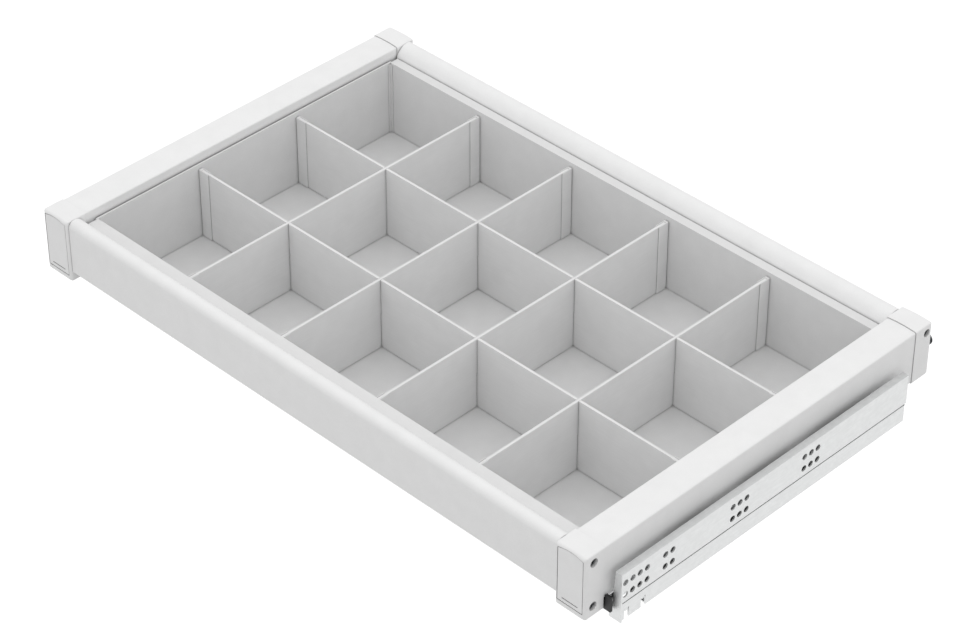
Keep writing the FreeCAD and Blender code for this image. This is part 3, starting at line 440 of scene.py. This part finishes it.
# %% Frame rails and corner blocks
RAILS = ("front_rail", "back_rail", "left_side_rail", "right_side_rail")
frame_pieces = [soften(name, 0.6, clamp=False) for name in RAILS]
for side in ("left", "right"):
    frame_pieces.append(soften(f"{side}_front_corner_block", 0.5))
    frame_pieces.append(soften(f"{side}_back_corner_block", 0.5))
    frame_pieces.append(soften(f"{side}_front_cover", 0.5, clamp=False))
print("frame:", [piece.name for piece in frame_pieces])

# %% [markdown]
# The tray is five sheets with turned-out rims, and a strip in each corner.  The dividers slot into
# each other, and each end stands in a clip against the tray's wall.  Thin white edges are what the eye
# finds first here, so each asks for a radius that suits its thickness: 0.5 mm on the 3 mm strips, and
# 0.6 mm on the clips' moulded corners, of which the limit leaves a little less.

# %% Tray and dividers
tray_pieces = [soften(name, 0.4) for name in nodes if name.startswith("tray_") and name != "tray_base"]
tray_pieces.append(soften("tray_base", 0.3))
for name in nodes:
    if name.endswith("_clips"):
        tray_pieces.append(soften(name, 0.6, segments=3))
    elif "divider" in name:
        tray_pieces.append(soften(name, 0.5, segments=3))
print("tray and dividers:", len(tray_pieces), "pieces")

# %% [markdown]
# The cabinet bracket is one folded sheet of galvanised steel.  A press brake leaves a radius of about
# the sheet's thickness on the outside of each fold, so the long folded edges are found by where they
# run, and a bmesh operator rounds them in four steps.  A Bevel modifier would round the punched holes
# and cut edges as well, which a punch leaves sharp.

# %% Round the bracket's folds
FOLD_RADIUS = 1.3 * MM
FOLD_STEPS = 4
SHORTEST_FOLD = 100 * MM
FOLD_TOLERANCE = 0.15 * MM


def round_edges(bm, edges, radius, segments, clamp=False):
    """Round some edges of a bmesh."""
    bmesh.ops.bevel(bm, geom=edges, offset=radius, offset_type="OFFSET", segments=segments,
                    profile=0.5, affect="EDGES", material=-1, clamp_overlap=clamp)


def long_edges(bm, places):
    """Long edges along Y that pass through one of the (x, z) places."""
    found = []
    for edge in bm.edges:
        a, b = edge.verts[0].co, edge.verts[1].co
        if abs(a.y - b.y) < SHORTEST_FOLD:
            continue
        if any(abs(abs(a.x) - x) < FOLD_TOLERANCE and abs(a.z - z) < FOLD_TOLERANCE
               for x, z in places):
            found.append(edge)
    return found


print("folds are rounded to", round(FOLD_RADIUS / MM, 1), "mm")

# %% [markdown]
# The bracket's lower plate lies a little further in than its upper one, and a roll presses a crease
# along that step.  The crease could be modelled as a groove in the CAD part, but it carries no load,
# so here two cuts mark off a strip of the face and an inset sinks it.  The strip is made taller than
# a real crease, because the ledge above it hides a narrow one.

# %% Sink the crease
CREASE_TOP = 39.8 * MM
CREASE_HEIGHT = 3.2 * MM
CREASE_DEPTH = 0.9 * MM
CREASE_SLOPE = 0.15 * MM
ON_PLANE = 0.001 * MM
ON_FACE = 0.1 * MM


def roll_crease(bm, side_sign, face_x, high, low):
    """Sink a narrow strip of the lower plate's outer face, between two heights."""
    bm.normal_update()
    for z in (high, low):
        cuts = [*bm.verts, *bm.edges, *bm.faces]
        bmesh.ops.bisect_plane(bm, geom=cuts, dist=ON_PLANE, plane_co=(0, 0, z), plane_no=(0, 0, 1))
    bm.normal_update()
    strip = [f for f in bm.faces if side_sign * f.normal.x > 0.99
             and low < f.calc_center_median().z < high
             and abs(abs(f.calc_center_median().x) - face_x) < ON_FACE]
    bmesh.ops.inset_region(bm, faces=strip, thickness=CREASE_SLOPE, depth=-CREASE_DEPTH,
                           use_even_offset=True)
    return len(strip)


print("crease is", round(CREASE_HEIGHT / MM, 1), "mm high and", round(CREASE_DEPTH / MM, 1), "mm deep")

# %% [markdown]
# Two notches near the bracket's front have curled metal at their upper edges.  The curl is a small free
# shape that could be bent from a strip, but only its outline shows.  So a plain round tongue stands for
# it: a flat disc, upright like the plate, with rounded rims.

# %% Press the tongues
TONGUE_RADIUS = 2.6 * MM
TONGUE_THICKNESS = 1.2 * MM
TONGUE_EDGE = 0.35 * MM


def add_tongue(bm, at):
    """A round tongue that stands at a notch's upper edge."""
    made = bmesh.ops.create_cone(bm, cap_ends=True, segments=32, radius1=TONGUE_RADIUS,
                                 radius2=TONGUE_RADIUS, depth=TONGUE_THICKNESS,
                                 matrix=Matrix.Translation(at) @ Matrix.Rotation(math.pi / 2, 4, "Y"))
    new = set(made["verts"])
    rims = [e for e in bm.edges if new.issuperset(e.verts) and abs(e.calc_face_angle(0)) > SHARP_ANGLE]
    round_edges(bm, rims, TONGUE_EDGE, 2)


print("tongues are", round(2 * TONGUE_RADIUS / MM, 1), "mm across")

# %% [markdown]
# Both brackets are made by the same steps, mirrored.  The sign of the part's place says which side it
# is on, and its box says where the wall and the plate's ends are.

# %% Cabinet brackets
PLATE_STEP = 1.5 * MM
TONGUE_INSET = 2.4 * MM
NOTCH_MIDDLES = (9 * MM, 30.5 * MM)
NOTCH_TOP = 28.2 * MM
for side in ("left", "right"):
    name = f"{side}_cabinet_bracket"
    low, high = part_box(name)
    wall = max(abs(low.x), abs(high.x))
    bracket = joined_copy(name)
    folds = long_edges(bracket, [(wall, high.z), (wall - PLATE_STEP, low.z)])
    round_edges(bracket, folds, FOLD_RADIUS, FOLD_STEPS, clamp=True)
    hand = math.copysign(1, low.x + high.x)
    strips = roll_crease(bracket, hand, wall - PLATE_STEP, CREASE_TOP, CREASE_TOP - CREASE_HEIGHT)
    for y in NOTCH_MIDDLES:
        add_tongue(bracket, (hand * (wall - TONGUE_INSET), low.y + y, NOTCH_TOP))
    make_piece(name + "_folded", bracket, [name])
    print(name, "has", len(folds), "folded edges and a crease of", strips, "strips")

# %% [markdown]
# The rest of each runner is rolled channel: a fixed track, a middle tube and the drawer's own member.
# Most of it hides under the side rail until the drawer is pulled out, and then its edges show.  A
# rubber stop waits at the back, and a steel bracket behind the frame holds it to the runner.  They are
# softened like the rest: rubber by the most, punched strip by the least.  The limit leaves the drawer's
# own member almost sharp, and takes some of the radius from the steel bracket.

# %% Runner members, rubber stops and rear brackets
SOFTENED_BY = (("fixed_track", 0.35), ("intermediate_member", 0.5), ("drawer_member", 0.35),
               ("rear_stop", 0.8), ("rear_bracket", 0.35))
runner_pieces = []
for side in ("left", "right"):
    for part, edge in SOFTENED_BY:
        runner_pieces.append(soften(f"{side}_{part}", edge))
print("runner pieces:", len(runner_pieces))

# %% [markdown]
# The front catch is a black moulding under the side rail.  Its lever has a row of grip ribs across the
# end that a finger presses.  Each rib is a small block, let a little way into the tongue's upper or
# lower face, so that a third of a millimetre stands out.  A Boolean could join them into one skin, but
# the overlap doesn't show, so the blocks are simply added and rounded together with the lever.  The
# catch's body keeps the limit and stays almost sharp.

# %% Front catches
RIB_COUNT = 4
RIB_STEP = 2.2 * MM
RIB_WIDTH = 1.0 * MM
RIB_HEIGHT = 0.5 * MM
RIB_START = 1.2 * MM
RIB_INSET = 2.0 * MM
# How far below the lever's top the lower and the upper ribs begin.
RIB_LEVELS = (3.55 * MM, 1.35 * MM)


def add_block(bm, low, high):
    """A box between two corners, as part of a bmesh."""
    made = bmesh.ops.create_cube(bm, size=1.0)["verts"]
    size = Vector(high) - Vector(low)
    bmesh.ops.scale(bm, vec=size, verts=made)
    bmesh.ops.translate(bm, vec=(Vector(low) + Vector(high)) / 2, verts=made)


for side in ("left", "right"):
    soften(f"{side}_catch_body", 0.5)
    name = f"{side}_catch_lever"
    low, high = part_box(name)
    lever = joined_copy(name)
    for number in range(RIB_COUNT):
        y = low.y + RIB_START + number * RIB_STEP
        for level in RIB_LEVELS:
            z = high.z - level
            add_block(lever, (low.x + RIB_INSET, y, z),
                      (high.x - RIB_INSET, y + RIB_WIDTH, z + RIB_HEIGHT))
    make_piece(name + "_ribbed", lever, [name], 0.15)
print("catches ready, each lever with", RIB_COUNT, "ribs a side")

# %% [markdown]
# A screw's cross recess has flat walls and sharp inner corners.  It could be built face by face, but
# cutting a cross out of a plain head with a Boolean is shorter and hard to get wrong.  The modifier
# works on objects, so two short-lived ones are made, read back as a bmesh and removed.

# %% Cut one shape out of another
def apply_cut(bm, cutter_bm):
    """Cut one closed bmesh out of another and return the result as a new bmesh."""
    made = []
    for tag, source in (("work", bm), ("cutter", cutter_bm)):
        mesh = bpy.data.meshes.new(tag)
        source.to_mesh(mesh)
        source.free()
        made.append(bpy.data.objects.new(tag, mesh))
        bpy.context.scene.collection.objects.link(made[-1])
    work, cutter = made
    boolean = work.modifiers.new("cut", "BOOLEAN")
    boolean.operation = "DIFFERENCE"
    boolean.solver = "EXACT"
    boolean.object = cutter
    graph = bpy.context.evaluated_depsgraph_get()
    result = bmesh.new()
    result.from_mesh(work.evaluated_get(graph).to_mesh())
    for thing in made:
        mesh = thing.data
        bpy.data.objects.remove(thing)
        bpy.data.meshes.remove(mesh)
    return result


# %% [markdown]
# The screws that hold the frame have pan heads with a cross recess for the driver.  The head is a
# disc whose upper rim is rounded in five steps, and a cross made of two thin bars is cut out of it.
# Both bars reach above the head, so that the recess is open at the top.

# %% Cross-recessed pan head
HEAD_RADIUS = 3.8 * MM
HEAD_HEIGHT = 2.6 * MM
HEAD_RIM = 1.3 * MM
CROSS_REACH = 2.3 * MM
CROSS_HALF_WIDTH = 0.45 * MM
CROSS_DEPTH = 1.5 * MM
ABOVE_HEAD = 1.0 * MM


def pan_head():
    """A pan head that stands on z = 0 and faces +Z, with a cross recess."""
    head = bmesh.new()
    bmesh.ops.create_cone(head, cap_ends=True, segments=40, radius1=HEAD_RADIUS, radius2=HEAD_RADIUS,
                          depth=HEAD_HEIGHT, matrix=Matrix.Translation((0, 0, HEAD_HEIGHT / 2)))
    rim = [e for e in head.edges if all(v.co.z > HEAD_HEIGHT / 2 for v in e.verts)]
    round_edges(head, rim, HEAD_RIM, 5)
    recess_floor, bar_top = HEAD_HEIGHT - CROSS_DEPTH, HEAD_HEIGHT + ABOVE_HEAD
    for along_x, along_y in ((CROSS_REACH, CROSS_HALF_WIDTH), (CROSS_HALF_WIDTH, CROSS_REACH)):
        bar = bmesh.new()
        add_block(bar, (-along_x, -along_y, recess_floor), (along_x, along_y, bar_top))
        head = apply_cut(head, bar)
    return head


print("pan heads are", round(2 * HEAD_RADIUS / MM, 1), "mm across")

# %% [markdown]
# Side screws and thumb screws are put in place the same way: a shank goes under the head, both turn
# to face along an axis, and they are added to one bmesh at their seat.  Identical screws share a
# piece, as they share a CAD part.

# %% Set a screw into its seat
SHANK_RADIUS = 2.0 * MM
SHANK_OVERLAP = 0.2 * MM


def add_screw(bm, head, seat, facing, shank):
    """Add a screw whose head stands on a seat and faces along an axis, and free the head."""
    turn = Vector(facing).to_track_quat("Z", "Y").to_matrix().to_4x4()
    bmesh.ops.create_cone(head, cap_ends=True, segments=24, radius1=SHANK_RADIUS, radius2=SHANK_RADIUS,
                          depth=shank, matrix=Matrix.Translation((0, 0, -shank / 2 + SHANK_OVERLAP)))
    bmesh.ops.transform(head, matrix=Matrix.Translation(seat) @ turn, verts=head.verts)
    mesh = bpy.data.meshes.new("screw")
    head.to_mesh(mesh)
    head.free()
    bm.from_mesh(mesh)
    bpy.data.meshes.remove(mesh)


print("shanks are", round(2 * SHANK_RADIUS / MM, 1), "mm thick")

# %% [markdown]
# The side screws sit at the bottom of the round recesses in the blocks' sides, so only their heads
# show.  Two long ones on each side hold the rails, and a short one sits low in the front block.  There
# are only six, so each head is simply made afresh.

# %% Side screws
LONG_SHANK = 50 * MM
SHORT_SHANK = 19 * MM
low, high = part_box("rail_side_screws")
screws = bmesh.new()
top, bottom = high.z - HEAD_RADIUS, low.z + HEAD_RADIUS
front, back = low.y + HEAD_RADIUS, high.y - HEAD_RADIUS
for hand in (-1, 1):
    for y, z, shank in ((front, top, LONG_SHANK), (back, top, LONG_SHANK), (front, bottom, SHORT_SHANK)):
        add_screw(screws, pan_head(), (hand * (high.x - HEAD_HEIGHT), y, z), (hand, 0, 0), shank)
make_piece("rail_side_screws_recessed", screws, ["rail_side_screws"])
print("side screws reach", round(high.x / MM, 1), "mm from the middle")

# %% [markdown]
# Behind each rear block a steel strip hooks the runner, and a thumb screw clamps it.  Its knob has
# straight knurls, so that fingers can turn it.  The knob starts as a many-sided cylinder, and every
# second side is pushed out to make a ridge.  Two insets on its end then leave a ring that stands a
# little proud of the end, round a flat middle.

# %% Knurled knob
KNURLS = 36
KNOB_RADIUS = 6.5 * MM
KNOB_DEPTH = 5.0 * MM
RIDGE = 0.35 * MM
RIDGE_SLOPE = 0.1 * MM
RING_DISTANCE = 1.0 * MM
RING_SLOPE = 0.6 * MM
RING_HEIGHT = 0.6 * MM


def knob(depth):
    """A knurled knob that stands on z = 0 and faces +Z."""
    bm = bmesh.new()
    bmesh.ops.create_cone(bm, cap_ends=True, segments=KNURLS * 2, radius1=KNOB_RADIUS - RIDGE,
                          radius2=KNOB_RADIUS - RIDGE, depth=depth,
                          matrix=Matrix.Translation((0, 0, depth / 2)))
    sides = [f for f in bm.faces if abs(f.normal.z) < 0.5]
    sides.sort(key=lambda f: math.atan2(f.calc_center_median().y, f.calc_center_median().x))
    bmesh.ops.inset_individual(bm, faces=sides[::2], thickness=RIDGE_SLOPE, depth=RIDGE)
    caps = [f for f in bm.faces if f.normal.z > 0.9]
    bmesh.ops.inset_region(bm, faces=caps, thickness=RING_DISTANCE, depth=0.0)
    # Measured: this leaves the middle level with the end, and the ring RING_HEIGHT above it.
    bmesh.ops.inset_region(bm, faces=caps, thickness=RING_SLOPE, depth=-RING_HEIGHT)
    return bm


print("knobs have", KNURLS, "ridges each")

# %% [markdown]
# The two thumb screws face backwards, one behind each rear block.  Their knobs come from the same
# function, and the screw's own box says where they stand and how long the shank is.

# %% Thumb screws
low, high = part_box("rear_clamp_screws")
knobs = bmesh.new()
shank = high.y - KNOB_DEPTH - low.y
for hand in (-1, 1):
    seat = (hand * (high.x - KNOB_RADIUS), high.y - KNOB_DEPTH, (low.z + high.z) / 2)
    add_screw(knobs, knob(KNOB_DEPTH), seat, (0, 1, 0), shank)
make_piece("rear_clamp_screws_knurled", knobs, ["rear_clamp_screws"], 0.12)
print("thumb screws have a shank of", round(shank / MM, 1), "mm")

# %% [markdown]
# Last, the box of the finished model is found.  Rounding takes a little off the edges, and
# the ring on each knob's end adds 0.6 mm at the back, so it stays within a millimetre of the CAD box.

# %% Measure the finished size
bpy.context.view_layer.update()
low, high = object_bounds()
